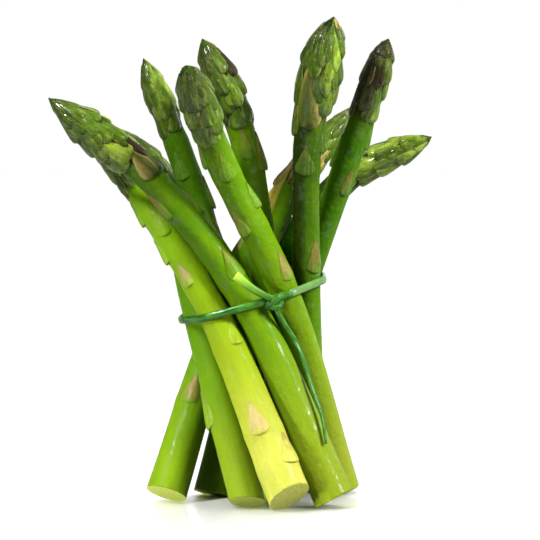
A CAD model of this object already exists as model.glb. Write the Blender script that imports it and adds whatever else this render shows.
"""A bundle of asparagus tied with a chive leaf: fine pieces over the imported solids.

The pieces are modelled at one unit to the millimetre, each spear straight up from its
foot, then bent along its own line, cut, and brought to metres in the part's frame.
"""

import math
import random

import bmesh
import bpy
import numpy as np
from mathutils import Matrix, Vector


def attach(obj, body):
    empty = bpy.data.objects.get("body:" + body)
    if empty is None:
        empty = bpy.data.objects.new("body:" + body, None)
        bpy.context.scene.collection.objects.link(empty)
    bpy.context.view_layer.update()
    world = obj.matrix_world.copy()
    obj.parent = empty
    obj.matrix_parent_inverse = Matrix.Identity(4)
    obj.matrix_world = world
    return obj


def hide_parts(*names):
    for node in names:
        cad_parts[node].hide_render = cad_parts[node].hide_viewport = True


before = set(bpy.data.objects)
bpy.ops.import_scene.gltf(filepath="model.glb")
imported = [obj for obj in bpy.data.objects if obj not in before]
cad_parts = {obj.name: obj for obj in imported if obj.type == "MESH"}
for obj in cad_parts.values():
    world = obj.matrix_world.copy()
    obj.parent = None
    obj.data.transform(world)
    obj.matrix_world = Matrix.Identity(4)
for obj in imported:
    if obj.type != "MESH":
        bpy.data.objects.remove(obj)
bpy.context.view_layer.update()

MM = 0.001
ORIGIN = Vector((-3.5, -3.8, 0.0))  # the frame's origin in the bundle's own millimetres

# ------------------------------------------------------------------ the ten spears

# line: the foot, two points on the way up and the tip.
# butt, waist, neck, swell: the radii at the foot, at the line's second point, under the
# head and where the head is widest.
# cut: the way the cut face looks.
# head: the length of the bud head; blunt, dome: how round its end is; levels, whorl: its
# whorls and the scales in each; turn: the bearing of the first; dried: the whorls below
# this level are dried at the edges.
# pale, deep, purple: how lime, how deep green (below 0, how lush) and how purple it is.
# bracts: the leaves on the stem, each with its distance from the foot, bearing, length,
# width and how dry it is, past 1 where it has turned golden.
# scales: the bud scales on the front of the head, each with its foot's height over the
# neck and bearing, its point's height and bearing, its width, how far it stands out, and
# its tone from 0, lime, to 1, purple. A tone below 0 is the same, with dried tan edges.
SPEARS = {
    "spear_front_lime": dict(
        line=[(13.5, -33.5, 5.2), (-14.5, -14.5, 70.5), (-42, -1.5, 113.5), (-61.5, 4, 136.5)],
        butt=7.9, waist=5.6, neck=4.9, swell=5.7, cut=(0.45, -0.5, -0.74),
        head=34, blunt=1.7, levels=7, whorl=6, turn=20,
        pale=1.0, deep=0.0, purple=0.1,
        bracts=[
            (25, -3, 12, 9, 0.95), (11.5, 60, 11, 11, 0.6), (58, 42, 8, 8, 0.15), (85, -26, 9, 7, 0.8),
            (97, -78, 10, 7, 0.3), (106, 0, 12, 7, 0.5), (114, -88, 10, 7, 0.5),
        ],
    ),
    "spear_front_big": dict(
        line=[(29.5, -24, 3.3), (-1.5, -17, 72.5), (-34.5, -17, 116), (-72.5, -18, 146.5)],
        butt=7.5, waist=5.6, neck=5.2, swell=7.9, cut=(0.46, -0.09, -0.88),
        head=42, blunt=1.7, levels=8, whorl=6, turn=70,
        pale=0.3, deep=0.35, purple=0.0,
        bracts=[
            (87, 38, 12, 9, 0.45), (113, 85, 10, 7, 0.6), (119, -62, 13, 8, 0.7), (100, 150, 10, 8, 0.4),
        ],
        scales=[
            (5.8, 8, 17.5, -12, 9, 1.1, 0.0), (-4.7, 26, 8, 30, 8.5, 1.0, -0.6),
            (16.5, -20, 28, -46, 8, 1.0, -0.3), (24, -80, 34, -80, 7, 1.3, 0.4),
            (14.8, 24, 25, 28, 7, 1.1, 0.35), (11, 50, 22, 52, 7, 1.1, 0.35),
            (9, 34, 14.5, 28, 3, 1.3, 0.5), (2.5, 78, 13, 62, 7, 1.0, 0.95),
            (-5.2, 80, 5, 80, 7, 1.1, 0.6), (27.5, 20, 38.5, 20, 6, 1.0, 0.45),
            (22.5, 48, 33, 50, 7, 1.0, 0.4), (24, -12, 34, -18, 6.5, 1.0, 0.45),
            (28.5, -36, 37, -38, 5.5, 1.0, 0.5), (20, 2, 29, 6, 7, 1.0, 0.35),
            (33, -10, 41, 0, 5.5, 0.9, 0.5), (31, 75, 40, 70, 6, 0.9, 0.5),
            (12, -50, 24, -60, 8, 1.0, 0.3), (4, -40, 15, -45, 8, 0.9, 0.25),
            (16, -85, 27, -85, 7, 1.0, 0.4), (6, -82, 18, -85, 7, 1.0, 0.3),
        ],
    ),
    "spear_left_front": dict(
        line=[(-1.5, -27.5, 2.5), (-20, -3.5, 68.5), (-32, 12, 112.5), (-50.5, 20, 135)],
        butt=6.3, waist=5.3, neck=5.0, swell=6.4, cut=(0, -0.42, -0.91),
        head=34, blunt=1.7, levels=7, whorl=6, turn=140,
        pale=0.22, deep=0.0, purple=0.7,
        bracts=[
            (30.5, -78, 14, 10, 0.35), (100, 60, 10, 8, 0.3),
        ],
    ),
    "spear_left_upright": dict(
        line=[(6, -3, 0), (-9, -3.4, 71), (-25.5, 2, 124.5), (-39.5, 3, 160.5)],
        butt=6.3, waist=5.0, neck=4.8, swell=5.8, cut=(0, 0, -1),
        head=32, blunt=2.0, levels=7, whorl=6, turn=10,
        pale=0.15, deep=0.35, purple=0.0,
        bracts=[
            (109, 88, 12, 7, 0.25), (122, -20, 10, 7, 0.2), (96, -100, 10, 7, 0.3),
        ],
        scales=[
            (8, -4, 27, 5, 8, 1.2, 0.25), (14, -40, 31, 0, 7, 1.0, 0.45), (10, 36, 28, 50, 7, 1.0, 0.25),
            (3, 20, 17, 42, 6.5, 0.75, 0.3), (4.5, -14, 15, -4, 6, 0.8, 0.35),
            (2, -55, 14, -40, 6.5, 0.7, 0.45), (22, -12, 31.5, 0, 5.5, 0.8, 0.5),
            (19, 25, 31, 30, 5.5, 0.8, 0.25), (12, 75, 27, 80, 6, 1.0, 0.2),
            (16, -80, 30, -60, 6, 1.0, 0.5),
        ],
    ),
    "spear_centre_blunt": dict(
        line=[(33, 14, 0.8), (11.5, -14.5, 77), (-11, -27, 124.5), (-22.5, -50, 158)],
        butt=7.0, waist=5.5, neck=5.2, swell=7.2, cut=(0.3, 0.1, -0.95),
        head=34, blunt=2.6, dome=0.5, levels=7, whorl=6, turn=0,
        pale=0.5, deep=0.35, purple=0.6,
        bracts=[
            (90, 48, 10, 8, 0.75), (111, -50, 11, 8, 0.7), (118, 70, 10, 8, 0.25), (133, 8, 11, 8, 0.4),
            (139, -87, 10, 7, 0.5),
        ],
        scales=[
            (18, -22, 33, 10, 8.5, 1.15, 0.6), (22, -62, 33, -30, 7, 1.0, 0.5),
            (19, 24, 32, 50, 7, 1.0, 0.62), (15, 48, 29, 60, 6.5, 1.0, -0.4),
            (10.5, 14, 22, 26, 7.5, 1.35, -0.35), (10, -52, 25, -42, 9.5, 1.0, 0.25),
            (16, -88, 29, -66, 7, 1.0, 0.5), (5, 36, 17, 44, 6.5, 1.1, 0.35),
            (1, -38, 14, -20, 8, 0.8, 0.3), (2, -80, 13, -75, 7, 0.8, 0.3),
            (8, 78, 22, 80, 6.5, 1.0, 0.3), (22, 85, 33, 80, 6, 0.8, 0.6), (2, 5, 11, 10, 6, 0.7, 0.2),
        ],
    ),
    "spear_centre_back": dict(
        line=[(16, 16, 0), (6, -2, 73), (-3, -12, 132), (-17.5, -16, 167.5)],
        butt=6.2, waist=5.2, neck=5.0, swell=7.7, cut=(0, 0, -1),
        head=36, blunt=2.3, levels=7, whorl=7, turn=55,
        pale=0.05, deep=-0.9, purple=0.2,
        bracts=[
            (125.5, 76, 13, 9, 0.8), (131, 5, 11, 7, 0.6), (104, -60, 10, 8, 0.4),
        ],
        scales=[
            (15, 2, 28, -5, 6, 1.25, 0.45), (22, 27, 34, 18, 6, 1.2, 0.5), (23, -16, 34, -8, 5, 1.0, 0.6),
            (9.5, 18, 23, 38, 7, 1.35, -0.25), (19.5, 62, 31, 80, 6, 1.2, 0.95),
            (3.5, 55, 15, 50, 6, 1.2, 0.35), (14, -40, 26, -32, 6.5, 0.9, 0.45),
            (8, -28, 19, -16, 6.5, 1.0, 0.4), (28, -2, 35.5, 10, 4, 0.9, 0.7),
            (12, 68, 25, 75, 6, 1.0, 0.5), (5, -65, 18, -60, 6.5, 0.9, 0.4),
            (18, -70, 30, -50, 6, 0.9, 0.5), (27, 45, 35.5, 40, 4, 0.9, 0.6), (2, -2, 12, 6, 7, 0.7, 0.3),
        ],
    ),
    "spear_tall_fat": dict(
        line=[(22, 36, 0), (20, -3.5, 76), (20.5, -24, 135.5), (29, -34, 175)],
        butt=6.4, waist=5.0, neck=4.9, swell=8.5, cut=(0, 0, -1),
        head=38, blunt=2.6, dome=0.7, levels=7, whorl=7, turn=30,
        pale=0.2, deep=0.9, purple=0.3,
        bracts=[
            (97, 40, 12, 8, 0.75), (134.5, -8, 10, 8.5, 0.45), (148, -88, 14, 8, 0.6),
            (142, 88, 14, 8, 0.4),
        ],
        scales=[
            (-2, -12, 25, -40, 10.5, 1.35, -0.55), (8, 13, 25, -22, 6, 0.8, 0.45),
            (3, 46, 18, 40, 7.5, 1.6, 0.3), (10, 30, 25, 2, 5, 1.2, 0.3), (15, 26, 29, 4, 4, 1.2, 0.2),
            (11, 56, 27, 20, 5, 1.2, 0.3), (14, 80, 29, 38, 5.5, 1.2, -0.4),
            (16, -16, 30, -44, 5.5, 1.1, 0.4), (18, -54, 32, -66, 5.5, 1.0, 0.5),
            (20, -6, 32, -34, 5, 1.05, 0.45), (22, 10, 34.5, -16, 4.5, 1.0, 0.5),
            (19, 42, 35, 8, 5, 1.05, 0.1), (28, -40, 37.5, -10, 5, 0.9, 0.65),
            (27, 4, 37.8, 5, 4.5, 0.9, 0.4), (34, 55, 38, 20, 2.2, 1.0, -0.9),
            (5, -75, 20, -75, 7, 1.1, 0.4), (19, -92, 33, -80, 5.5, 1.0, 0.6),
            (24, 62, 36, 40, 4.5, 1.0, 0.4), (6, 95, 20, 88, 7, 1.2, -0.4),
        ],
    ),
    "spear_right_slim": dict(
        line=[(-7, 35, 0), (18.5, 8.5, 76), (36.5, -9, 129.5), (48.8, -18, 167.5)],
        butt=6.3, waist=4.9, neck=4.5, swell=6.2, cut=(0, 0, -1),
        head=32, blunt=2.2, dome=0.55, levels=7, whorl=6, turn=100,
        pale=0.05, deep=0.3, purple=0.95,
        bracts=[
            (127, 33, 10, 6, 0.7), (135, -88, 12, 7, 0.4), (145, 88, 11, 7, 0.35),
        ],
        scales=[
            (16.5, 46, 31, 0, 6.5, 0.8, 0.55), (1.5, 62, 17, 30, 6.5, 1.0, 0.25),
            (14.5, 6, 31, -30, 6.5, 0.6, 1.0), (14, -42, 30, -70, 6.5, 0.7, 1.0),
            (6, -52, 20, -56, 7, 0.8, 0.9), (5, -4, 18, -6, 7, 0.7, 0.8), (2, 25, 14, 28, 6, 0.6, 0.5),
            (10, 90, 26, 60, 6, 0.8, 0.3), (20, -95, 31, -90, 6, 0.6, 0.9),
            (1, -85, 14, -85, 6, 0.8, 0.8), (22, -6, 32, -6, 6.5, 0.6, 0.85),
            (23, -42, 32, -30, 5.5, 0.6, 1.0), (22, 32, 32, 20, 5.5, 0.6, 0.5),
            (26, 14, 32, 5, 6, 0.6, 0.85), (26, -32, 32, -20, 6, 0.6, 1.0),
        ],
    ),
    "spear_right_low": dict(
        line=[(-14.3, 4, 0.8), (5.5, 14.5, 74.5), (32.5, 16, 114.3), (65.5, 5, 132)],
        butt=7.4, waist=5.5, neck=5.4, swell=6.6, cut=(-0.2, -0.25, -0.95),
        head=38, blunt=2.2, levels=8, whorl=6, turn=15,
        pale=0.0, deep=0.0, purple=0.1,
        bracts=[
            (108, 30, 11, 8, 0.6), (40, -60, 10, 8, 0.4),
        ],
        scales=[
            (15.5, -36, 29, -66, 5.5, 1.0, 0.15), (15.9, -12, 25, -34, 4.5, 1.1, -0.4),
            (20, -6, 33, 0, 5.5, 1.0, -0.25), (26, -18, 36.5, 4, 5.5, 1.0, -0.25),
            (27, -62, 37, -40, 6, 1.0, 0.15), (14, 10, 28, 16, 5.5, 1.0, -0.25),
            (8, -8, 22, -12, 5.5, 1.0, 0.1), (23.4, 28, 33, 34, 6.5, 1.0, 0.15),
            (5.5, 26, 19, 30, 5.5, 0.9, -0.2), (14.4, -50, 23, -64, 6.5, 1.0, 0.1),
            (30, 25, 37.5, 20, 5, 0.9, 0.1), (14, 55, 25, 60, 7, 1.0, 0.1), (24, 70, 34, 70, 6, 1.0, 0.3),
            (4, -35, 14, -40, 7, 1.0, 0.1), (5, 70, 16, 75, 7, 1.0, 0.2), (1, 0, 10, 0, 7, 0.8, 0.2),
            (22, -90, 33, -85, 6, 1.0, 0.2), (6, -80, 18, -85, 7, 1.0, 0.2),
        ],
    ),
    "spear_left_foot": dict(
        line=[(-31, -13, 3.4), (-9, 8.5, 70), (13, 8, 111.5), (37, 14.5, 143)],
        butt=7.5, waist=5.5, neck=5.8, swell=6.0, cut=(-0.26, -0.39, -0.88),
        head=40, blunt=1.8, levels=8, whorl=6, turn=65, dried=1.6,
        pale=0.08, deep=-0.6, purple=0.2,
        bracts=[
            (34.5, -22, 11, 9, 0.8), (92, -80, 12, 8, 0.7), (109, -58, 24, 10, 1.3), (99, 82, 16, 9, 0.2),
        ],
    ),
}

GAP = 0.4            # air kept between two spears
BUTT_POWER = 1.15    # how the butt narrows to the waist
WIDEST_AT = 0.42     # where a head is widest, as a share of its length
TAPER_POWER = 0.8    # how round the end of a head is
RELIEF = 0.19        # share of a head's radius that its bud scales stand out
RELIEF_FULL = 0.12   # share of a head over which the relief grows to that
POINT_RADIUS = 0.35  # radius of the stem at the very tip
SKEW = 9             # degrees that each whorl turns on the last
CROWDING = 0.35      # how much closer the scales stand towards the tip
SHARED_AT = 2        # how far over its foot a whorl shares out the girth of the stem
POINTED_IN = 1       # scales that end in this last stretch meet in the point
HEAD_LAP = 1.5       # how far the first scales start below the neck
TIP_CLEAR = 1.3      # how far the last scales end below the tip
BELOW_FOOT = 8.0     # stem beyond the cut face, cut off again
BEYOND = 10.0        # how far the guide line runs past each end of a spear
NODE_SWELL = 0.3     # how far a stem swells at the foot of each leaf on it
NODE_REACH = 3.0     # how far along the stem that reaches either way
STEM_SIDES = 28
RING_STEP = 2.0      # from one ring of the stem to the next
TIP_OPEN = 0.4       # how far below the tip the stem's last ring lies
LINE_STEPS = 133     # steps between two points of a spear's line
SAMPLED_FROM = -6    # where the measuring of a spear for its neighbours starts
SAMPLES = 121        # places at which it is measured, up to the tip
LEAST_HEIGHT = 0.1   # a scale or leaf is never pressed flatter than this
PRESSES = 12         # how often it may be pressed flatter
PRESSED = 0.55       # share of what is too much that goes each time,
PRESSED_MORE = 0.01  # and a little beside
TINY = 1e-4

FRONT = Vector((0, -1, 0))


def lerp(a, b, t):
    return a + (b - a) * t


class Line:
    """A smooth line through points, measured by its length."""

    def __init__(self, points, steps):
        knots = [Vector(p) for p in points]
        knots = [2 * knots[0] - knots[1], *knots, 2 * knots[-1] - knots[-2]]
        self.dots = []
        for before, start, end, after in zip(knots, knots[1:], knots[2:], knots[3:]):
            stretches = ((before, start), (start, end), (end, after))
            earlier, span, later = [max((b - a).length, TINY) ** 0.5 for a, b in stretches]
            leave = self.slope(before, start, end, earlier, span) * span
            arrive = self.slope(start, end, after, span, later) * span
            for i in range(steps):
                t = i / steps
                bow = 3 * (end - start) - 2 * leave - arrive
                ease = 2 * (start - end) + leave + arrive
                self.dots.append(start + leave * t + bow * t * t + ease * t ** 3)
        self.dots.append(knots[-2].copy())
        self.runs = [0.0]
        for a, b in zip(self.dots, self.dots[1:]):
            self.runs.append(self.runs[-1] + (b - a).length)
        self.length = self.runs[-1]

    @staticmethod
    def slope(a, b, c, ab, bc):
        """How the line runs through b, with the spans from a to b and from b to c."""
        return (b - a) / ab - (c - a) / (ab + bc) + (c - b) / bc

    def at(self, along):
        """The point at a distance from the start, and the direction there."""
        index = int(np.searchsorted(self.runs, along)) - 1
        index = min(max(index, 0), len(self.dots) - 2)
        start = self.dots[index]
        direction = (self.dots[index + 1] - start).normalized()
        return start + direction * (along - self.runs[index]), direction


class Spear:
    """The measures of one spear: its line and its radii along it."""

    def __init__(self, name, row):
        self.name = name
        self.line = Line(row["line"], LINE_STEPS)
        self.length = self.line.length
        self.waist_at = self.line.runs[LINE_STEPS]
        self.butt, self.waist, self.neck, self.swell = (row[k] for k in ("butt", "waist", "neck", "swell"))
        self.foot = Vector(row["line"][0])
        self.cut = Vector(row["cut"]).normalized()
        self.head = row["head"]
        self.neck_at = self.length - self.head
        self.blunt = row["blunt"]
        self.dome = row.get("dome", TAPER_POWER)
        self.levels, self.whorl, self.turn = row["levels"], row["whorl"], row["turn"]
        self.dried = row.get("dried", 0.0)
        self.pale, self.deep, self.purple = row["pale"], row["deep"], row["purple"]
        self.bracts = row["bracts"]
        self.scales = row.get("scales", [])
        stations = np.linspace(SAMPLED_FROM, self.length, SAMPLES)
        self.samples = np.array([self.line.at(s)[0] for s in stations])
        self.radii = np.array([self.core(s) for s in stations])

    def outer(self, along):
        """Radius with the bud scales of the head."""
        if along < self.waist_at:
            return lerp(self.butt, self.waist, (max(along, 0) / self.waist_at) ** BUTT_POWER)
        if along < self.neck_at:
            return lerp(self.waist, self.neck, (along - self.waist_at) / (self.neck_at - self.waist_at))
        x = min((along - self.neck_at) / self.head, 1)
        if x < WIDEST_AT:
            return self.neck + (self.swell - self.neck) * math.sin(math.pi / 2 * x / WIDEST_AT)
        y = min((x - WIDEST_AT) / (1 - WIDEST_AT), 1)
        return self.swell * (1 - y ** self.blunt) ** self.dome

    def core(self, along):
        """Radius of the stem itself, which the bud scales stand out of."""
        x = min(max((along - self.neck_at) / self.head, 0), 1)
        radius = self.outer(along) * (1 - RELIEF * min(x / RELIEF_FULL, 1))
        for foot, *_ in self.bracts:
            radius += NODE_SWELL * math.exp(-((along - foot) / NODE_REACH) ** 2)
        return max(radius, POINT_RADIUS)

    def place(self, along, bearing, radius):
        """A point round the bent spear; bearing 0 is to the front, 90 degrees to the right."""
        point, up = self.line.at(along)
        front = (FRONT - up * FRONT.dot(up)).normalized()
        right = up.cross(front)
        return point + front * radius * math.cos(bearing) + right * radius * math.sin(bearing)

    def straight(self, along, bearing, radius):
        """The same point before the spear is bent."""
        return Vector((radius * math.sin(bearing), -radius * math.cos(bearing), along))

    def outward(self, bearing):
        """The way out of the stem before it is bent."""
        return self.straight(0, bearing, 1)


spears = [Spear(name, row) for name, row in SPEARS.items()]


def room_around(point, spear):
    """Distance from a point to the nearest stem among the other spears."""
    room = math.inf
    for other in spears:
        if other is not spear:
            distances = np.linalg.norm(other.samples - np.array(point), axis=1) - other.radii
            room = min(room, float(distances.min()))
    return room


def clear_height(spear, along, bearing, height):
    """A height above the stem that leaves the neighbours their half of the air."""
    kept = height
    for _ in range(PRESSES):
        room = room_around(spear.place(along, bearing, spear.core(along) + kept), spear)
        short = kept + GAP - room
        if short <= 0 or kept <= LEAST_HEIGHT:
            break
        kept -= PRESSED * short + PRESSED_MORE
    return max(kept, LEAST_HEIGHT)


# ------------------------------------------------------------------ modelling helpers

def deselect_all():
    bpy.ops.object.select_all(action="DESELECT")


def start_editing(piece):
    bpy.context.view_layer.objects.active = piece
    piece.select_set(True)
    bpy.ops.object.mode_set(mode="EDIT")


def stop_editing():
    bpy.ops.object.mode_set(mode="OBJECT")


def select_points(piece, chosen):
    """In edit mode, selects the vertices that are true in a list with one value for each."""
    edit = bmesh.from_edit_mesh(piece.data)
    for vertex, picked in zip(edit.verts, chosen.tolist()):
        vertex.select = picked
    edit.select_flush_mode()
    bmesh.update_edit_mesh(piece.data)


def apply_modifier(piece, kind, **settings):
    modifier = piece.modifiers.new(kind.lower(), kind)
    for key, value in settings.items():
        setattr(modifier, key, value)
    deselect_all()
    bpy.context.view_layer.objects.active = piece
    piece.select_set(True)
    bpy.ops.object.modifier_apply(modifier=modifier.name)


def points_of(piece):
    values = np.empty(len(piece.data.vertices) * 3)
    piece.data.vertices.foreach_get("co", values)
    return values.reshape(-1, 3)


def keep_field(piece, name, first, second, third):
    """Stores three numbers for each vertex, which the materials read."""
    values = np.empty((len(piece.data.vertices), 3), dtype=np.float32)
    for column, numbers in enumerate((first, second, third)):
        values[:, column] = numbers
    field = piece.data.attributes.get(name) or piece.data.attributes.new(name, "FLOAT_VECTOR", "POINT")
    field.data.foreach_set("vector", values.ravel())


def tint_leaf(piece, value):
    """Keeps a scale's tone, or how dry a leaf is, beside the place across and along it."""
    values = np.empty(len(piece.data.vertices) * 3, dtype=np.float32)
    piece.data.attributes["leaf"].data.foreach_get("vector", values)
    across, height, _ = values.reshape(-1, 3).T
    keep_field(piece, "leaf", across, height, value)


def copy_of(model, matrix):
    """A copy with its own mesh, placed by a matrix."""
    piece = model.copy()
    piece.data = model.data.copy()
    piece.data.transform(matrix)
    bpy.context.collection.objects.link(piece)
    return piece


def draw_up(name, sides, stations, halves):
    """A closed tube along +Z, drawn up ring by ring from its foot; each ring has its
    station, its half width and its half depth."""
    deselect_all()
    bpy.ops.mesh.primitive_circle_add(vertices=sides, radius=1, fill_type="NGON", location=(0, 0, 0))
    tube = bpy.context.active_object
    tube.name = name
    start_editing(tube)
    bpy.ops.mesh.select_all(action="SELECT")
    bpy.ops.transform.resize(value=(*halves[0], 1), center_override=(0, 0, 0))
    bpy.ops.transform.translate(value=(0, 0, stations[0]))
    for below, above, old, new in zip(stations, stations[1:], halves, halves[1:]):
        bpy.ops.mesh.extrude_region_move(TRANSFORM_OT_translate={"value": (0, 0, above - below)})
        bpy.ops.transform.resize(value=(new[0] / old[0], new[1] / old[1], 1), center_override=(0, 0, above))
    bpy.ops.mesh.select_all(action="SELECT")
    bpy.ops.mesh.normals_make_consistent(inside=False)
    stop_editing()
    bpy.ops.object.shade_smooth()
    return tube


def join(main, others):
    deselect_all()
    for piece in others:
        piece.select_set(True)
    main.select_set(True)
    bpy.context.view_layer.objects.active = main
    bpy.ops.object.join()
    return main


def guide_curve(line, beyond):
    """A curve object along a line, running straight on past both ends."""
    data = bpy.data.curves.new("guide", "CURVE")
    data.dimensions = "3D"
    data.use_path = True
    data.use_deform_bounds = False
    data.twist_mode = "MINIMUM"
    dots = [line.at(-beyond)[0], *line.dots[::2], line.at(line.length + beyond)[0]]
    spline = data.splines.new("POLY")
    spline.points.add(len(dots) - 1)
    for point, dot in zip(spline.points, dots):
        point.co = (*dot, 1.0)
    guide = bpy.data.objects.new("guide", data)
    bpy.context.collection.objects.link(guide)
    return guide


def bend_along(piece, line, facing, beyond):
    """Bends a piece that stands straight along +Z onto a line, so that its -Y side
    looks the given way at the middle of the line."""
    guide = guide_curve(line, beyond)
    along = line.length / 2
    data = bpy.data.meshes.new("pointer")
    data.from_pydata([(0, 0, along + beyond), (0, -1, along + beyond)], [], [])
    pointer = bpy.data.objects.new("pointer", data)
    bpy.context.collection.objects.link(pointer)
    apply_modifier(pointer, "CURVE", object=guide, deform_axis="POS_Z")
    middle, end = (vertex.co.copy() for vertex in pointer.data.vertices)
    pointing = end - middle
    up = line.at(along)[1]
    wanted = (facing - up * facing.dot(up)).normalized()
    off = math.atan2(up.cross(wanted).dot(pointing), wanted.dot(pointing))
    piece.data.transform(Matrix.Translation((0, 0, beyond)) @ Matrix.Rotation(-off, 4, "Z"))
    apply_modifier(piece, "CURVE", object=guide, deform_axis="POS_Z")
    bpy.data.objects.remove(pointer)
    bpy.data.objects.remove(guide)


# ------------------------------------------------------------------ a bud scale

# From the rounded foot to the point: height, half width, front and back of each ring.
# Height is a share of the length, half width of the scale's own, and depth of the
# stem's radius there.
BUD_RINGS = [
    (0.01, 0.42, 0.13, -0.06),
    (0.04, 0.72, 0.23, -0.10),
    (0.12, 0.94, 0.29, -0.12),
    (0.28, 1.00, 0.28, -0.12),
    (0.50, 0.82, 0.21, -0.12),
    (0.74, 0.50, 0.14, -0.10),
    (0.93, 0.18, 0.09, -0.08),
]
LANCE_RINGS = [
    (0.03, 0.18, 0.12, -0.06),
    (0.11, 0.50, 0.23, -0.10),
    (0.22, 0.80, 0.30, -0.12),
    (0.38, 1.00, 0.27, -0.12),
    (0.58, 0.80, 0.20, -0.12),
    (0.78, 0.46, 0.14, -0.10),
    (0.94, 0.16, 0.09, -0.08),
]
LANCE_WIDTH = 5.6        # narrower scales are pointed at the foot as well
BUD_SEGMENTS = 12
BUD_FOOT = -0.02
BUD_POINT = (1.03, 0.04)
BUD_THINNED = ((0.50, 0.87), (0.87, 0.55))  # how much the sides of a scale are thinned
BUD_SPAN = (2.4, 3.0)    # levels that a scale reaches over, at the neck and near the tip
BUD_RISE = 2             # levels that the whorls climb in one turn
BUD_WIDTH = 1.05         # width of a scale, as a share of its place in the whorl
BUD_WIDE_AT = 0.2        # where a scale is widest, as a share of its length
BUD_BOW_FROM, BUD_BOW_TO = 0.1, 0.8  # the part of its length whose bend it takes over
BUD_BOW = (0.02, 1.2)    # the least and the most that it is bent lengthwise
BUD_SUNK = 0.2           # how deep its foot is set into the stem
BUD_NEAR = 0.05          # how near its side a point of the model lies
FRONT_BEARING = 98       # degrees either way in which scales are placed one by one
LAST_LEVEL = 0.8         # no scale starts in this last part of a level
NECK_TONE = 0.1          # the tone of the lowest scales,
TIP_TONE = 0.35          # what it gains up to the tip
PURPLE_TONE = 0.3        # and what it gains on the most purple spear
DRIED_TONE = -0.9
# What chance adds to the level and the tone of a scale in the whorls, and by what it
# multiplies the levels it reaches over, its width and how far it stands out.
LEVEL_CHANCE, TONE_CHANCE = (-0.15, 0.15), (-0.15, 0.2)
SPAN_CHANCE, WIDTH_CHANCE, LIFT_CHANCE = (0.92, 1.08), (0.9, 1.1), (0.85, 1.15)


def model_bud(name, profile):
    """One bud scale, modelled flat, with half a width, a stem's radius and a length of 1."""
    top = len(profile) + 1
    bpy.ops.mesh.primitive_uv_sphere_add(segments=BUD_SEGMENTS, ring_count=top, radius=1,
                                         location=(0, 0, 0))
    bud = bpy.context.active_object
    bud.name = name
    x, y, z = points_of(bud).T
    heights = [-math.cos(math.pi * i / top) for i in range(top + 1)]
    level = np.abs(z[:, None] - heights).argmin(axis=1)
    girth = np.hypot(x, y)
    across = np.where(girth > TINY, x / np.maximum(girth, TINY), 0)
    keep_field(bud, "leaf", across, level / top, 0)
    start_editing(bud)
    for side, thinner in BUD_THINNED:
        select_points(bud, np.abs(np.abs(across) - side) < BUD_NEAR)
        bpy.ops.transform.resize(value=(1, thinner, 1), center_override=(0, 0, 0))
    for i, (height, half, front, back) in enumerate(profile, start=1):
        size = math.sqrt(1 - heights[i] ** 2)
        deep = (front - back) / 2
        select_points(bud, level == i)
        bpy.ops.transform.resize(value=(half / size, deep / size, 1), center_override=(0, 0, 0))
        bpy.ops.transform.translate(value=(0, -(front + back) / 2, height - heights[i]))
    select_points(bud, level == 0)
    bpy.ops.transform.translate(value=(0, 0, BUD_FOOT + 1))
    select_points(bud, level == top)
    bpy.ops.transform.translate(value=(0, -BUD_POINT[1], BUD_POINT[0] - 1))
    stop_editing()
    bpy.ops.object.shade_smooth()
    bud.data.materials.append(BUDS)
    return bud


# ------------------------------------------------------------------ a stem's scale leaf

# From the base to the point: height, half width (1 = the leaf's own), lift of its
# middle and of its edges, as shares of the stem's radius.
BRACT_ROWS = [
    (0.00, 0.86, 0.06, 0.02),
    (0.03, 0.97, 0.11, 0.04),
    (0.12, 1.00, 0.13, 0.04),
    (0.26, 0.86, 0.12, 0.04),
    (0.42, 0.66, 0.10, 0.04),
    (0.58, 0.46, 0.08, 0.03),
    (0.74, 0.28, 0.06, 0.03),
    (0.88, 0.13, 0.05, 0.03),
    (1.00, 0.02, 0.03, 0.03),
]
BRACT_COLUMNS = 10
BRACT_THICKNESS = 0.2
BRACT_SAG = 0.16       # how far the middle of the base hangs below its corners
BRACT_HALF_ANGLE = 0.8
BRACT_MOST = 1.2       # the widest that a leaf may be, as an angle to each side
BRACT_STANDING = 1.1   # how far a leaf stands off the stem, which needs this much air
BRACT_SUNK = 0.1       # how deep its foot and its point are set into the stem
BRACT_WIDE_AT = 0.3    # where its width is measured, as a share of its length,
BRACT_HIGH_AT = 0.2    # and where it stands off furthest
BRACT_NEAR = 0.01      # how near its column a point of the model lies
SIDE_LIFT = 2.0        # how much further the leaves stand off on the sides and the back,
SIDE_BEARINGS = (60, 300)  # which lie between these degrees
# Leaves on the back of each stem: share of the way to the head, and side.
BACK_LEAVES = [(0.14, 1), (0.36, -1), (0.73, 1), (0.90, -1)]
# What chance moves each of them along the stem, turns it from the back in degrees, and
# makes of its length, width and dryness.
BACK_SHIFT, BACK_TURN = (-4, 4), (15, 40)
BACK_LENGTH, BACK_WIDTH, BACK_DRY = (9, 12), (7, 9), (0.4, 0.8)


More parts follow.
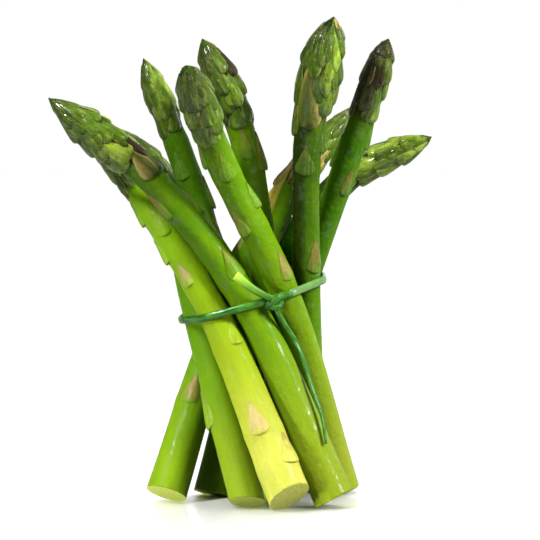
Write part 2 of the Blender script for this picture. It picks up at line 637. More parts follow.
def model_bract():
    """One thin pointed leaf, modelled flat and then wrapped round the stem."""
    rows = len(BRACT_ROWS)
    bpy.ops.mesh.primitive_grid_add(x_subdivisions=BRACT_COLUMNS, y_subdivisions=rows - 1, size=2,
                                    location=(0, 0, 0), rotation=(math.pi / 2, 0, 0))
    bract = bpy.context.active_object
    bract.name = "stem_leaf"
    bract.data.materials.append(BRACTS)
    bpy.ops.object.transform_apply(location=False, rotation=True, scale=False)
    across, _, z = points_of(bract).T
    row = np.rint((z + 1) / 2 * (rows - 1)).astype(int)
    keep_field(bract, "leaf", across, row / (rows - 1), 0)
    start_editing(bract)
    for i, (height, half, _, edge) in enumerate(BRACT_ROWS):
        select_points(bract, row == i)
        bpy.ops.transform.resize(value=(half * BRACT_HALF_ANGLE, 1, 1), center_override=(0, 0, 0))
        bpy.ops.transform.translate(value=(0, -edge, height - (2 * i / (rows - 1) - 1)))
    for column in range(1, BRACT_COLUMNS):
        side = 2 * column / BRACT_COLUMNS - 1
        bulge = 1 - side * side
        for i, (height, _, middle, edge) in enumerate(BRACT_ROWS):
            select_points(bract, (row == i) & (np.abs(across - side) < BRACT_NEAR))
            sag = BRACT_SAG * bulge * (1 - height)
            bpy.ops.transform.translate(value=(0, -(middle - edge) * bulge, -sag))
    stop_editing()
    width = float(np.ptp(points_of(bract)[:, 0]))
    apply_modifier(bract, "SIMPLE_DEFORM", deform_method="BEND", deform_axis="Z", angle=width)
    apply_modifier(bract, "SOLIDIFY", thickness=BRACT_THICKNESS, offset=-1.0, use_rim=True)
    apply_modifier(bract, "SUBSURF", levels=1, render_levels=1)
    bpy.ops.object.shade_smooth()
    return bract


# ------------------------------------------------------------------ a spear

PATTERN_SHIFT = 17.0   # how far the pattern of each spear is moved from the last
CUT_REACH = 2.5        # a face of the cut lies within this many radii of the foot,
CUT_FLAT = 0.99        # looks the way of the cut or of the floor at least this nearly,
CUT_LEAST_AREA = 0.5   # and is larger than this


def standing(origin, top, outward, radius):
    """The matrix that stands a leaf on the stem: its foot, its point, the way it looks
    and the stem's radius there."""
    up = top - origin
    out = (outward - up * (outward.dot(up) / up.length_squared)).normalized()
    right = up.cross(out).normalized()
    matrix = Matrix((right * radius, -out * radius, up)).transposed().to_4x4()
    return Matrix.Translation(origin) @ matrix


def grow_stem(spear):
    """The stem, from below the cut to the tip."""
    rings = round((spear.length + BELOW_FOOT) / RING_STEP)
    stations = np.linspace(-BELOW_FOOT, spear.length - TIP_OPEN, rings + 1)
    stem = draw_up(spear.name, STEM_SIDES, stations, [(spear.core(s), spear.core(s)) for s in stations])
    stem.data.materials.append(SKIN)
    apply_modifier(stem, "SUBSURF", levels=1, render_levels=1)
    keep_field(stem, "leaf", 0, 0, 0)
    return stem


def lean(spear, along):
    """How far the side of the stem leans inwards, as an angle, over a millimetre."""
    return math.atan(spear.core(along - 0.5) - spear.core(along + 0.5))


def stand_bud(spear, buds, foot, top, width, lift, tone):
    """One bud scale, curved round the stem and along it; foot and top are each the
    distance along the spear and the bearing."""
    length = top[0] - foot[0]
    wide_at = foot[0] + BUD_WIDE_AT * length
    radius = spear.core(wide_at)
    full = lift * radius * RELIEF / (1 - RELIEF)
    kept = clear_height(spear, wide_at, lerp(foot[1], top[1], BUD_WIDE_AT), full)
    at_tip = top[0] > spear.length - POINTED_IN
    origin = spear.straight(*foot, spear.core(foot[0]) - BUD_SUNK)
    point = spear.straight(*top, 0.0 if at_tip else spear.core(top[0]))
    bow = lean(spear, foot[0] + BUD_BOW_TO * length) - lean(spear, foot[0] + BUD_BOW_FROM * length)
    bow = min(max(bow, BUD_BOW[0]), BUD_BOW[1])
    chord = (point - origin).length
    long = chord * (bow / 2) / math.sin(bow / 2)
    model = buds["lance"] if width < LANCE_WIDTH else buds["round"]
    piece = copy_of(model, Matrix.Diagonal((width / 2, radius * lift * kept / full, long, 1)))
    apply_modifier(piece, "SIMPLE_DEFORM", deform_method="BEND", deform_axis="Z", angle=width / radius)
    apply_modifier(piece, "SIMPLE_DEFORM", deform_method="BEND", deform_axis="X", angle=bow)
    matrix = standing(origin, point, spear.outward((foot[1] + top[1]) / 2), 1.0)
    matrix = matrix @ Matrix.Diagonal((1, 1, 1 / chord, 1))
    piece.data.transform(matrix @ Matrix.Rotation(bow / 2, 4, "X"))
    tint_leaf(piece, tone)
    return piece


def grow_buds(spear, buds, chance):
    """The bud scales of the head: the front ones one by one, the rest in whorls."""
    pieces = []
    for foot, bearing, top, top_bearing, width, lift, tone in spear.scales:
        start = (spear.neck_at + foot, math.radians(bearing))
        end = (min(spear.neck_at + top, spear.length), math.radians(top_bearing))
        pieces.append(stand_bud(spear, buds, start, end, width, lift, tone))

    start = spear.neck_at - HEAD_LAP
    reach = spear.length - TIP_CLEAR - start
    last = spear.levels

    def lattice(level, column):
        t = level / last
        along = start + reach * t * (1 + CROWDING - CROWDING * t)
        return along, math.radians(spear.turn + column * 180 / spear.whorl + SKEW * level)

    for j in range(-BUD_RISE, last):
        for k in range(spear.whorl):
            column = 2 * k + j % 2
            level = j + BUD_RISE * column / (2 * spear.whorl) + chance.uniform(*LEVEL_CHANCE)
            if not 0 <= level < last - LAST_LEVEL:
                continue
            foot = lattice(level, column)
            bearing = (math.degrees(foot[1]) + 180) % 360 - 180
            if spear.scales and abs(bearing) < FRONT_BEARING:
                continue
            span = lerp(*BUD_SPAN, level / last) * chance.uniform(*SPAN_CHANCE)
            top = lattice(min(level + span, last), column)
            if level + span > last:
                top = (spear.length, top[1])
            share = 2 * math.pi * spear.core(foot[0] + SHARED_AT) / spear.whorl
            width = share * BUD_WIDTH * chance.uniform(*WIDTH_CHANCE)
            tone = NECK_TONE + TIP_TONE * level / last + PURPLE_TONE * spear.purple
            tone = min(max(tone + chance.uniform(*TONE_CHANCE), 0), 1)
            if level < spear.dried:
                tone = DRIED_TONE
            lift = chance.uniform(*LIFT_CHANCE)
            pieces.append(stand_bud(spear, buds, foot, top, width, lift, tone))
    return pieces


def grow_bracts(spear, bract, chance):
    """The thin leaves on the stem: those seen from the front, and a few behind."""
    leaves = []
    behind = [
        (spear.neck_at * share + chance.uniform(*BACK_SHIFT), 180 + side * chance.uniform(*BACK_TURN),
         chance.uniform(*BACK_LENGTH), chance.uniform(*BACK_WIDTH), chance.uniform(*BACK_DRY))
        for share, side in BACK_LEAVES
    ]
    for foot, degrees, length, width, dry in [*spear.bracts, *behind]:
        bearing = math.radians(degrees)
        radius = spear.core(foot + BRACT_WIDE_AT * length)
        origin = spear.straight(foot, bearing, spear.core(foot) - BRACT_SUNK)
        point = spear.straight(foot + length, bearing, spear.core(foot + length) - BRACT_SUNK)
        matrix = standing(origin, point, spear.outward(bearing), radius)
        narrow = min(width / 2 / radius, BRACT_MOST) / BRACT_HALF_ANGLE
        kept = clear_height(spear, foot + BRACT_HIGH_AT * length, bearing, BRACT_STANDING)
        lift = SIDE_LIFT if SIDE_BEARINGS[0] < degrees % 360 < SIDE_BEARINGS[1] else 1.0
        piece = copy_of(bract, matrix @ Matrix.Diagonal((narrow, lift * kept / BRACT_STANDING, 1, 1)))
        tint_leaf(piece, dry)
        leaves.append(piece)
    return leaves


def cut_foot(piece, spear):
    """Cuts the spear across its foot and along the floor."""
    start_editing(piece)
    for point, normal in ((spear.foot, spear.cut), (Vector((0, 0, 0)), Vector((0, 0, -1)))):
        bpy.ops.mesh.select_all(action="SELECT")
        bpy.ops.mesh.bisect(plane_co=point, plane_no=normal, use_fill=True, clear_outer=True)
    stop_editing()
    piece.data.materials.append(CUT)
    cut_slot = len(piece.data.materials) - 1
    for face in piece.data.polygons:
        close = (face.center - spear.foot).length < CUT_REACH * spear.butt
        cut_flat = face.normal.dot(spear.cut) > CUT_FLAT or face.normal.z < -CUT_FLAT
        if close and cut_flat and face.area > CUT_LEAST_AREA:
            face.material_index = cut_slot
            face.use_smooth = False


def grow_spear(spear, buds, bract, number):
    """A whole spear: grown straight, marked for its materials, bent and cut."""
    chance = random.Random(number)
    stem = grow_stem(spear)
    piece = join(stem, grow_buds(spear, buds, chance) + grow_bracts(spear, bract, chance))
    x, y, z = points_of(piece).T
    keep_field(piece, "straight", x, y, z)
    keep_field(piece, "growth", z / spear.length, spear.pale, spear.deep)
    keep_field(piece, "tint", spear.purple, z - spear.neck_at, number * PATTERN_SHIFT)
    bend_along(piece, spear.line, FRONT, BEYOND)
    cut_foot(piece, spear)
    return piece


def bring_to_frame(piece):
    """From millimetres about the bundle to metres in the part's frame."""
    piece.data.transform(Matrix.Scale(MM, 4) @ Matrix.Translation(-ORIGIN))


# ------------------------------------------------------------------ the chive tie

TIE_GAP = 0.6        # air between the leaf and the stems
TIE_HEIGHT = 73.4
TIE_CLIMB = 0.285    # how steeply the band rises to the right
TIE_BACK = 0.03      # and to the back
TIE_WIDTH, TIE_THICK = 2.8, 1.4
TIE_STEPS = 40       # steps in the way round the stems
TIE_FADED = 0.3      # share of the band, from the knot on, over which a faded green ends
FRESH_POWER = 4.0    # how soon the fresh green of a cut end fades along its run
STRIP_SIDES = 16
STRIP_RING = 0.7     # from one ring of a run to the next
STRIP_LEAST = 8      # a run has at least this many rings
STRIP_STEPS = 24     # steps between two points of a run's line
STRIP_BEYOND = 3.0   # how far its guide line runs past each end
MIDDLE = Vector((0, -2, TIE_HEIGHT))  # what the band goes round
KNOT = Vector((8, -22.6, 73.8))

# The leaf beyond the band: the points of each run from the middle of the knot, and its
# width and thickness at the start and the end.
RUNS = {
    "over": dict(line=[(-2.6, 0.4, -2.4), (-1.4, -1.9, -1.3), (0.8, -2.3, 0.9), (2.8, -0.6, 2.4),
                       (3, 0.9, 1.2)], width=(2.4, 2.4), thick=(1.3, 1.3)),
    "hook": dict(line=[(3, 0.4, 0.2), (1.7, -1.9, -1.6), (-0.6, -2, -1.8), (-2.4, -0.5, 0)],
                 width=(2, 2), thick=(1.2, 1.2)),
    "stub": dict(line=[(1.5, -1.2, 0.6), (-3.5, -2.2, 2.6), (-8.5, -3.2, 5.6), (-13.8, -3.2, 9.8)],
                 width=(2.2, 3.4), thick=(1.4, 1.9), fresh_end=1.0),
    "tail": dict(line=[(-0.5, -0.8, 0), (1.4, -0.3, -3.5), (3.8, 1.8, -7.8), (8.7, 3.5, -16.3),
                       (12.9, -0.9, -28.3), (17, -3.8, -40.3), (18.6, -6, -50.3)],
                 width=(2.6, 1.3), thick=(1.3, 0.9)),
}


def band_points():
    """The taut line round all the stems, starting and ending behind the knot."""
    normal = Vector((-TIE_CLIMB, -TIE_BACK, 1)).normalized()
    knot_angle = math.atan2(KNOT.y - MIDDLE.y, KNOT.x - MIDDLE.x)
    points = []
    for i in range(TIE_STEPS + 1):
        angle = knot_angle + 2 * math.pi * i / TIE_STEPS
        outward = Vector((math.cos(angle), math.sin(angle), 0))
        outward = (outward - normal * outward.dot(normal)).normalized()
        reach, furthest = -math.inf, None
        for spear in spears:
            away = spear.samples - np.array(MIDDLE)
            height = away @ np.array(normal)
            for j in np.flatnonzero(np.abs(height) < spear.radii):
                cut = math.sqrt(spear.radii[j] ** 2 - height[j] ** 2)
                out = float(away[j] @ np.array(outward)) + cut
                if out > reach:
                    reach = out
                    furthest = Vector(spear.samples[j]) - normal * float(height[j]) + outward * cut
        points.append(furthest + outward * (TIE_GAP + TIE_THICK / 2))
    return points


def model_strip(name, points, width, thick, fresh_end=0.0, faded_to=0.0):
    """A run of the leaf: a flattened tube laid along its line with its flat side out."""
    line = Line(points, STRIP_STEPS)
    rings = max(round(line.length / STRIP_RING), STRIP_LEAST)
    shares = np.linspace(0, 1, rings + 1)
    halves = [(lerp(*width, t) / 2, lerp(*thick, t) / 2) for t in shares]
    strip = draw_up(name, STRIP_SIDES, shares * line.length, halves)
    x, y, z = points_of(strip).T
    keep_field(strip, "straight", x, y, z)
    share = z / line.length
    fresh = np.clip(share * fresh_end, 0, 1) ** FRESH_POWER
    faded = np.clip(1 - share / faded_to, 0, 1) if faded_to else 0
    keep_field(strip, "leaf", fresh, share, faded)
    middle, _ = line.at(line.length / 2)
    bend_along(strip, line, Vector((middle.x - MIDDLE.x, middle.y - MIDDLE.y, 0)), STRIP_BEYOND)
    return strip


def tie_chive():
    """The whole leaf: the band round the stems, the knot and both ends."""
    width, thick = (TIE_WIDTH, TIE_WIDTH), (TIE_THICK, TIE_THICK)
    strips = [model_strip("chive_tie", band_points(), width, thick, faded_to=TIE_FADED)]
    for name, run in RUNS.items():
        points = [KNOT + Vector(p) for p in run["line"]]
        strips.append(model_strip(name, points, run["width"], run["thick"], run.get("fresh_end", 0.0)))
    tie = join(strips[0], strips[1:])
    tie.data.materials.append(CHIVE)
    return tie


# ------------------------------------------------------------------ materials

class Field:
    """A number that varies over a surface; arithmetic on it adds Math nodes."""

    def __init__(self, nodes, socket):
        self.nodes = nodes
        self.socket = socket

    def math(self, operation, *values):
        return self.nodes.node("ShaderNodeMath", {"operation": operation}, *values)

    def __add__(self, other):
        return self.math("ADD", self, other)

    __radd__ = __add__

    def __sub__(self, other):
        return self.math("SUBTRACT", self, other)

    def __rsub__(self, other):
        return self.math("SUBTRACT", other, self)

    def __mul__(self, other):
        return self.math("MULTIPLY", self, other)

    __rmul__ = __mul__

    def __pow__(self, other):
        return self.math("POWER", self, other)

    def __abs__(self):
        return self.math("ABSOLUTE", self)

    def sine(self):
        return self.math("SINE", self)

    def smooth(self, low, high):
        """0 below low, 1 above high, with a soft step between."""
        settings = {"interpolation_type": "SMOOTHSTEP"}
        return self.nodes.node("ShaderNodeMapRange", settings, self, low, high, 0.0, 1.0)


# The Mix node's sockets for colours, among those for its other kinds of data.
MIX_FACTOR, MIX_A, MIX_B, MIX_RESULT = 0, 6, 7, 2


class Nodes:
    """A node tree that is written as expressions."""

    def __init__(self, tree):
        self.tree = tree

    def node(self, kind, settings, *values, out=0, **named):
        """Adds a node, sets it, fills its inputs in order or by name, and gives an output."""
        node = self.tree.nodes.new(kind)
        for key, value in settings.items():
            setattr(node, key, value)
        for socket, value in zip(node.inputs, values):
            self.fill(socket, value)
        for key, value in named.items():
            self.fill(node.inputs[key], value)
        return Field(self, node.outputs[out])

    def fill(self, socket, value):
        if isinstance(value, Field):
            self.tree.links.new(value.socket, socket)
        elif value is not None:
            socket.default_value = value

    def parts(self, vector):
        """The three numbers of a vector."""
        node = self.tree.nodes.new("ShaderNodeSeparateXYZ")
        self.fill(node.inputs[0], vector)
        return [Field(self, socket) for socket in node.outputs]

    def mix(self, factor, a, b, mode="MIX"):
        """A colour between a and b."""
        node = self.tree.nodes.new("ShaderNodeMix")
        node.data_type = "RGBA"
        node.blend_type = mode
        self.fill(node.inputs[MIX_FACTOR], factor)
        self.fill(node.inputs[MIX_A], a)
        self.fill(node.inputs[MIX_B], b)
        return Field(self, node.outputs[MIX_RESULT])


class Paint(Nodes):
    """The node tree of one material, with its Principled shader."""

    def __init__(self, name):
        self.material = bpy.data.materials.new(name)
        self.material.use_nodes = True
        super().__init__(self.material.node_tree)
        self.shader = self.tree.nodes["Principled BSDF"]

    def attribute(self, name):
        return self.node("ShaderNodeAttribute", {"attribute_name": name}, out="Vector")

    def joined(self, x, y, z):
        return self.node("ShaderNodeCombineXYZ", {}, x, y, z)

    def drawn_out(self, vector, share):
        """The vector with its height made less, which draws a pattern out along a spear."""
        return self.node("ShaderNodeVectorMath", {"operation": "MULTIPLY"}, vector, (1.0, 1.0, share))

    def noise(self, vector, scale, detail, roughness):
        return self.node("ShaderNodeTexNoise", {"noise_dimensions": "3D"}, Vector=vector, Scale=scale,
                         Detail=detail, Roughness=roughness)

    def cells(self, vector, scale):
        return self.node("ShaderNodeTexVoronoi", {"feature": "F1"}, Vector=vector, Scale=scale)

    def bump(self, height, strength, distance, below=None):
        return self.node("ShaderNodeBump", {}, Strength=strength, Distance=distance, Height=height,
                         Normal=below)

    def finish(self, color, roughness, normal, **constants):
        """Connects the shader, and sets what is the same all over on its own sockets."""
        self.fill(self.shader.inputs["Base Color"], color)
        self.fill(self.shader.inputs["Roughness"], roughness)
        self.fill(self.shader.inputs["Normal"], normal)
        for key, value in constants.items():
            self.shader.inputs[key.replace("_", " ")].default_value = value
        return self.material


def shade(red, green, blue):
    return (red, green, blue, 1.0)


# the stems, their leaves and the heads
PALE_BUTT = shade(0.46, 0.46, 0.12)
LIME_BUTT = shade(0.36, 0.36, 0.030)
GREEN_BUTT = shade(0.088, 0.175, 0.001)
YOUNG_GREEN = shade(0.046, 0.163, 0.001)
DEEP_GREEN = shade(0.028, 0.075, 0.002)
LUSH_GREEN = shade(0.15, 0.31, 0.003)
FRESH_LIME = shade(0.23, 0.46, 0.006)
SHADOW_GREEN = shade(0.008, 0.020, 0.002)
LIME = shade(0.18, 0.27, 0.003)
BRIGHT_SCALE = shade(0.33, 0.47, 0.035)
GREEN_SCALE = shade(0.060, 0.122, 0.002)
OLIVE_SCALE = shade(0.040, 0.060, 0.003)
PALE_EDGE = shade(0.40, 0.40, 0.13)
CREAM_TAN = shade(0.50, 0.38, 0.10)
PURPLE_BROWN = shade(0.026, 0.017, 0.006)
TAN = shade(0.18, 0.115, 0.020)
PINK_TAN = shade(0.36, 0.27, 0.11)
GOLDEN_TAN = shade(0.70, 0.50, 0.06)
CREAM = shade(0.42, 0.40, 0.12)
BARK_BROWN = shade(0.05, 0.027, 0.007)
BLUSH_BROWN = shade(0.012, 0.018, 0.002)
ROSE_BROWN = shade(0.22, 0.13, 0.03)
DULLED = shade(0.62, 0.72, 0.6)  # what a streak leaves of the colour under it

# the cut face
GREEN_FLESH = shade(0.50, 0.60, 0.10)
PALE_FLESH = shade(0.72, 0.74, 0.16)
FIBRE_CREAM = shade(0.85, 0.83, 0.42)
CLOUDED_FLESH = shade(0.35, 0.42, 0.05)
RIM_FLESH = shade(0.62, 0.66, 0.16)

# the chive leaf
DARK_CHIVE = shade(0.009, 0.062, 0.006)
GREEN_CHIVE = shade(0.036, 0.17, 0.009)
LIGHT_CHIVE = shade(0.10, 0.28, 0.015)
YOUNG_CHIVE = shade(0.14, 0.36, 0.010)
CUT_CHIVE = shade(0.42, 0.66, 0.055)
FADED_CHIVE = shade(0.17, 0.30, 0.10)

# the floor as it is seen, and as it lights the bundle
FLOOR_SEEN = shade(0.965, 0.965, 0.95)
FLOOR_LIGHTING = shade(0.32, 0.32, 0.31)

SOAKED = (1.0, 0.9, 0.3)  # how far red, green and blue light soak into the flesh


def ground_colour(paint, share, pale, deep):
    """The green of a stem from its butt to its head."""
    butt = paint.mix(pale, GREEN_BUTT, LIME_BUTT)
    low = paint.mix(share.smooth(0.02, 0.45), butt, paint.mix(pale, YOUNG_GREEN, LIME))
    low = paint.mix((1 - share.smooth(0.0, 0.3)) * pale.smooth(0.5, 1.0) * 0.35, low, PALE_BUTT)
    high = paint.mix(pale, YOUNG_GREEN, FRESH_LIME)
    high = paint.mix(deep, high, DEEP_GREEN)
    high = paint.mix(0 - deep, high, LUSH_GREEN)
    return paint.mix(share.smooth(0.35, 0.8), low, high)


def wetness(paint, place, share):
    """Where the skin still shines with water: small patches over a duller ground."""
    patches = paint.noise(paint.drawn_out(place, 0.9), 0.36, 3.0, 0.6)
    return 0.03 + 0.97 * patches.smooth(0.94 - share, 1.06 - share)


def own_place(paint):
    """The place on the straight spear, moved so that no two spears have one pattern."""
    moved = paint.parts(paint.attribute("tint"))[2]
    x, y, z = paint.parts(paint.attribute("straight"))
    return paint.joined(x + moved, y, z)


def skin_material():
    """The stem: its green from butt to head, streaks and specks, the purple under the
    head and the dark blush on one side."""
    paint = Paint("asparagus_skin")
    share, pale, deep = paint.parts(paint.attribute("growth"))
    purple, above_neck, _ = paint.parts(paint.attribute("tint"))
    x, y, _ = paint.parts(paint.attribute("straight"))
    place = own_place(paint)
    streaks = paint.noise(paint.drawn_out(place, 0.05), 0.9, 3.0, 0.6)
    blotches = paint.noise(paint.drawn_out(place, 0.45), 0.16, 3.0, 0.55)
    specks = paint.cells(paint.drawn_out(place, 0.35), 1.1)
    broad = paint.noise(place, 0.35, 2.0, 0.5)
    color = ground_colour(paint, share, pale, deep)
    color = paint.mix(blotches.smooth(0.45, 0.75) * 0.3, color, LIME)
    dulled = paint.mix(1.0, color, DULLED, "MULTIPLY")
    color = paint.mix(streaks.smooth(0.35, 0.75) * 0.3, color, dulled)
    color = paint.mix((1 - specks.smooth(0.05, 0.22)) * 0.12, color, CREAM)
    color = paint.mix(above_neck.smooth(-8, 6) * purple * 0.5, color, PURPLE_BROWN)
    blush = (0.25 * y - x + 3.0 * (broad - 0.5)).smooth(-2.2, 1.8) * share.smooth(0.3, 0.5)
    color = paint.mix(blush * deep.smooth(0.2, 0.9) * 0.85, color, BLUSH_BROWN)
    color = paint.mix(above_neck.smooth(2, 6) * 0.8, color, SHADOW_GREEN)
    fine = paint.noise(paint.drawn_out(place, 0.08), 2.6, 2.0, 0.5)
    normal = paint.bump(fine, 0.1, 0.0002, paint.bump(broad, 0.35, 0.0012))
    paint.fill(paint.shader.inputs["Coat Weight"], wetness(paint, place, 0.4))
    return paint.finish(color, 0.3 + 0.2 * blotches, normal, Subsurface_Weight=0.12,
                        Subsurface_Radius=SOAKED, Subsurface_Scale=0.002, Specular_IOR_Level=0.08,
                        Coat_Roughness=0.24)


def bud_material():
    """The scales of the head: lime to purple by their tone, mottled, pale and dried at
    the edges, dark at the point and in the crevice under the foot."""
    paint = Paint("asparagus_bud_scales")
    across, height, tone = paint.parts(paint.attribute("leaf"))
    place = own_place(paint)
    mottle = paint.noise(paint.drawn_out(place, 0.4), 0.45, 4.0, 0.6)
    streaks = paint.noise(paint.drawn_out(place, 0.15), 0.7, 2.0, 0.5)
    worn = abs(tone) + (mottle - 0.5) * 0.8 + (height - 0.35) * 0.25
    color = paint.mix(worn.smooth(0.0, 0.4), BRIGHT_SCALE, GREEN_SCALE)
    color = paint.mix(worn.smooth(0.38, 0.75), color, OLIVE_SCALE)
    color = paint.mix(worn.smooth(0.68, 1.05), color, PURPLE_BROWN)
    dried = (0 - tone) * (0.45 + 0.8 * abs(across) + 0.5 * height + mottle - 0.5)
    color = paint.mix(dried.smooth(0.35, 1.15), color, CREAM_TAN)
    fair = 1 - 0.75 * worn.smooth(0.5, 1.0)
    color = paint.mix(streaks.smooth(0.5, 0.8) * fair * 0.3, color, PALE_EDGE)
    color = paint.mix((1 - streaks.smooth(0.25, 0.5)) * 0.3, color, SHADOW_GREEN)
    color = paint.mix(abs(across).smooth(0.7, 1.0) * fair * 0.5, color, PALE_EDGE)
    color = paint.mix(height.smooth(0.8, 1.0) * 0.5, color, PURPLE_BROWN)
    crevice = 1 - height.smooth(0.0, 0.09)
    color = paint.mix(crevice * 0.85, color, SHADOW_GREEN)
    ribs = (across * 14.0).sine() * 0.5 + 0.5
    normal = paint.bump(ribs * 0.3 + streaks, 0.4, 0.0006, paint.bump(mottle, 0.7, 0.0016))
    paint.fill(paint.shader.inputs["Coat Weight"], wetness(paint, place, 0.5) * fair)
    return paint.finish(color, 0.22 + 0.2 * mottle, normal, Subsurface_Weight=0.08,
                        Subsurface_Radius=SOAKED, Subsurface_Scale=0.0015, Specular_IOR_Level=0.25,
                        Coat_Roughness=0.13)


def bract_material():
    """The leaves on the stem: green like the stem at the base, withered to tan from the
    point down, with fibres and a brown outline."""
    paint = Paint("asparagus_stem_leaves")
    across, height, dry = paint.parts(paint.attribute("leaf"))
    share, pale, deep = paint.parts(paint.attribute("growth"))
    place = own_place(paint)
    fibres = paint.noise(paint.drawn_out(place, 0.12), 1.6, 3.0, 0.6)
    patches = paint.noise(place, 0.3, 3.0, 0.6)
    ground = ground_colour(paint, share, pale, deep)
    withered = height + (patches - 0.5) * 1.1 + dry * 1.3 - 1.05
    dried = paint.mix(pale + (dry - 0.8) * 4.0, TAN, PINK_TAN)
    dried = paint.mix((dry - 1.0) * 3.0, dried, GOLDEN_TAN)
    inner = 0.85 - 0.35 * abs(across).smooth(0.5, 1.0)
    color = paint.mix(withered.smooth(0.0, 0.65) * inner, ground, dried)
    color = paint.mix(fibres.smooth(0.45, 0.7) * 0.2, color, CREAM)
    color = paint.mix((1 - fibres.smooth(0.3, 0.5)) * 0.15, color, BARK_BROWN)
    outline = abs(across).smooth(0.75, 1.0) * height.smooth(0.1, 0.4) + height.smooth(0.75, 1.0)
    color = paint.mix(outline * (0.05 + 0.5 * dry), color, paint.mix(pale, BARK_BROWN, ROSE_BROWN))
    color = paint.mix((1 - height.smooth(0.0, 0.12)) * 0.45, color, paint.mix(0.5, ground, CREAM))
    normal = paint.bump(fibres, 0.3, 0.0004, paint.bump(patches, 0.4, 0.0015))
    return paint.finish(color, 0.24 + 0.2 * fibres, normal, Specular_IOR_Level=0.3)


def cut_material():
    """The cut face: pale flesh with the ends of its fibres, greener at the rim."""
    paint = Paint("asparagus_cut_face")
    straight = paint.attribute("straight")
    x, y, _ = paint.parts(straight)
    _, pale, _ = paint.parts(paint.attribute("growth"))
    place = paint.drawn_out(straight, 0.1)
    fibres = paint.cells(place, 1.3)
    cloud = paint.noise(place, 0.5, 3.0, 0.6)
    out = (x * x + y * y) ** 0.5
    flesh = paint.mix(pale, GREEN_FLESH, PALE_FLESH)
    color = paint.mix((1 - fibres.smooth(0.1, 0.35)) * 0.35, flesh, FIBRE_CREAM)
    color = paint.mix(cloud.smooth(0.45, 0.7) * 0.35, color, CLOUDED_FLESH)
    color = paint.mix(out.smooth(5.0, 7.0) * 0.4, color, RIM_FLESH)
    normal = paint.bump(fibres, 0.4, 0.0003)
    return paint.finish(color, 0.42 + 0.2 * cloud, normal, Subsurface_Weight=0.15,
                        Subsurface_Radius=SOAKED, Subsurface_Scale=0.002, Specular_IOR_Level=0.25)


def chive_material():
    """The leaf: lined along its length, fresh at the cut end and faded past the knot."""
    paint = Paint("chive_leaf")
    straight = paint.attribute("straight")
    lines = paint.noise(paint.drawn_out(straight, 0.06), 2.6, 2.0, 0.5)
    cloud = paint.noise(straight, 0.25, 2.0, 0.5)
    fresh, _, faded = paint.parts(paint.attribute("leaf"))
    color = paint.mix(lines.smooth(0.35, 0.7), DARK_CHIVE, GREEN_CHIVE)
    color = paint.mix(cloud.smooth(0.45, 0.75) * 0.5, color, LIGHT_CHIVE)
    color = paint.mix(fresh ** 0.25 * 0.6, color, YOUNG_CHIVE)
    color = paint.mix(fresh, color, CUT_CHIVE)
    color = paint.mix(faded.smooth(0.0, 0.9) * (0.35 + 0.4 * lines), color, FADED_CHIVE)
    normal = paint.bump(lines, 0.4, 0.0004)
    return paint.finish(color, 0.13 + 0.15 * cloud, normal, Specular_IOR_Level=0.6)


def floor_material():
    """The floor, which is seen whiter than it lights the bundle."""
    paint = Paint("white_floor")
    seen = paint.node("ShaderNodeLightPath", {}, out="Is Camera Ray")
    color = paint.mix(seen, FLOOR_LIGHTING, FLOOR_SEEN)
    return paint.finish(color, 0.16, None, Specular_IOR_Level=0.1)


# ------------------------------------------------------------------ camera and light

TARGET = (Vector((6.6, 0, 83.7)) - ORIGIN) * MM
ELEVATION = math.radians(4)
DISTANCE = 1.1
PIXEL = 0.365  # millimetres that one pixel covers at the bundle
FRAME_PIXELS = 540
FRAME_HEIGHT = PIXEL * FRAME_PIXELS * MM
SENSOR = 36


def set_camera():
    """A camera a little above the bundle, far enough off to flatten it."""
    data = bpy.data.cameras.new("camera")
    data.sensor_width = SENSOR
    data.lens = SENSOR * DISTANCE / FRAME_HEIGHT
    data.clip_end = 20
    camera = bpy.data.objects.new("camera", data)
    camera.location = TARGET + Vector((0, -math.cos(ELEVATION), math.sin(ELEVATION))) * DISTANCE
    camera.rotation_euler = (math.pi / 2 - ELEVATION, 0, 0)
    bpy.context.collection.objects.link(camera)
    bpy.context.scene.camera = camera


# How strongly each part of the white surroundings lights the bundle.
FRONT_LIGHT = 0.05
BACKDROP_LIGHT = 1.0
RIGHT_WALL_LIGHT = 1.3
TOP_LIGHT = 0.25
LIT_MIDDLE = (0, 0, 0.09)
FLOOR_SIZE = 6


def add_softbox(name, place, size, power, mirrored=True, look_at=LIT_MIDDLE, spread=180):
    """A rectangular lamp; mirrored: its reflection shows in glossy skin."""
    data = bpy.data.lights.new(name, "AREA")
    data.shape = "RECTANGLE"
    data.size, data.size_y = size
    data.energy = power
    data.spread = math.radians(spread)
    lamp = bpy.data.objects.new(name, data)
    lamp.location = place
    lamp.rotation_euler = (Vector(look_at) - Vector(place)).to_track_quat("-Z", "Y").to_euler()
    lamp.visible_glossy = mirrored
    bpy.context.collection.objects.link(lamp)


def add_sun(name, toward, strength, angle, lit):
    """A sun that lights only the given pieces and isn't mirrored in them."""
    data = bpy.data.lights.new(name, "SUN")
    data.energy = strength
    data.angle = math.radians(angle)
    lamp = bpy.data.objects.new(name, data)
    lamp.rotation_euler = Vector(toward).to_track_quat("-Z", "Y").to_euler()
    lamp.visible_glossy = False
    bpy.context.collection.objects.link(lamp)
    group = bpy.data.collections.new(name + "_pieces")
    for piece in lit:
        group.objects.link(piece)
    lamp.light_linking.receiver_collection = group


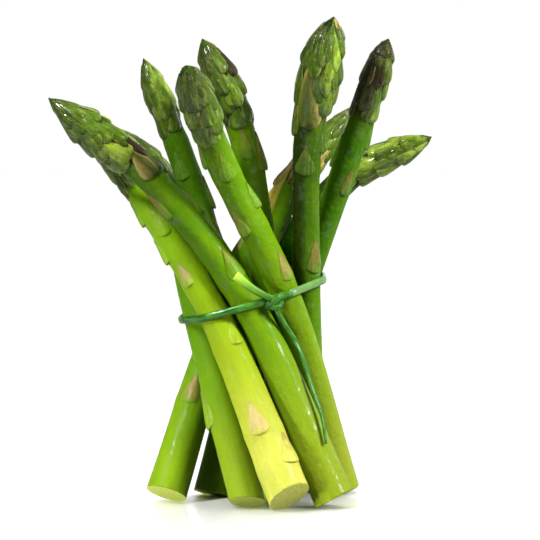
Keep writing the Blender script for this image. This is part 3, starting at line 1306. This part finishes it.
def set_world():
    """White surroundings that are seen all round, but light mostly from behind."""
    world = bpy.data.worlds.new("studio")
    world.use_nodes = True
    nodes = Nodes(world.node_tree)
    seen = nodes.node("ShaderNodeLightPath", {}, out="Is Camera Ray")
    direction = nodes.node("ShaderNodeTexCoord", {}, out="Generated")
    x, y, z = nodes.parts(direction)
    lighting = FRONT_LIGHT + BACKDROP_LIGHT * y.smooth(0.88, 0.97) + TOP_LIGHT * z.smooth(0.2, 1.0)
    lighting = lighting + RIGHT_WALL_LIGHT * x.smooth(0.3, 0.8) * y.smooth(0.1, 0.6)
    background = world.node_tree.nodes["Background"]
    background.inputs["Color"].default_value = (1, 1, 1, 1)
    nodes.fill(background.inputs["Strength"], seen + (1 - seen) * lighting)
    bpy.context.scene.world = world


# ------------------------------------------------------------------ assembly

SKIN = skin_material()
BUDS = bud_material()
BRACTS = bract_material()
CUT = cut_material()
CHIVE = chive_material()

deselect_all()
bud_models = {
    "round": model_bud("round_scale", BUD_RINGS),
    "lance": model_bud("pointed_scale", LANCE_RINGS),
}
bract_model = model_bract()

bundle = []
for number, spear in enumerate(spears, start=1):
    piece = grow_spear(spear, bud_models, bract_model, number)
    bring_to_frame(piece)
    piece.name = "fine_" + spear.name
    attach(piece, "root")
    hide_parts(spear.name)
    bundle.append(piece)

tie = tie_chive()
bring_to_frame(tie)
tie.name = "fine_chive_tie"
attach(tie, "root")
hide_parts("chive_tie")
bundle.append(tie)

for model in (*bud_models.values(), bract_model):
    bpy.data.objects.remove(model)

bpy.ops.mesh.primitive_plane_add(size=FLOOR_SIZE, location=(0, 0, 0))
floor = bpy.context.active_object
floor.name = "floor"
floor.data.materials.append(floor_material())

set_camera()
set_world()
add_sun("left_light", (0.55, 0.4, -0.95), 0.7, 20, bundle)
add_sun("right_light", (-0.82, 0.48, -0.68), 5.2, 16, bundle)
add_sun("floor_light", (-0.22, -0.5, -1.0), 2.75, 50, [floor])
add_softbox("low_left_window", (-0.42, -0.3, 0.05), (0.08, 0.08), 0.09, mirrored=False,
            look_at=(-0.02, -0.01, 0), spread=22)
add_softbox("left_window", (-0.55, -0.55, 0.75), (0.10, 0.14), 8)
add_softbox("right_window", (0.7, -0.35, 0.45), (0.2, 0.3), 4)
bpy.context.scene.view_settings.view_transform = "Standard"
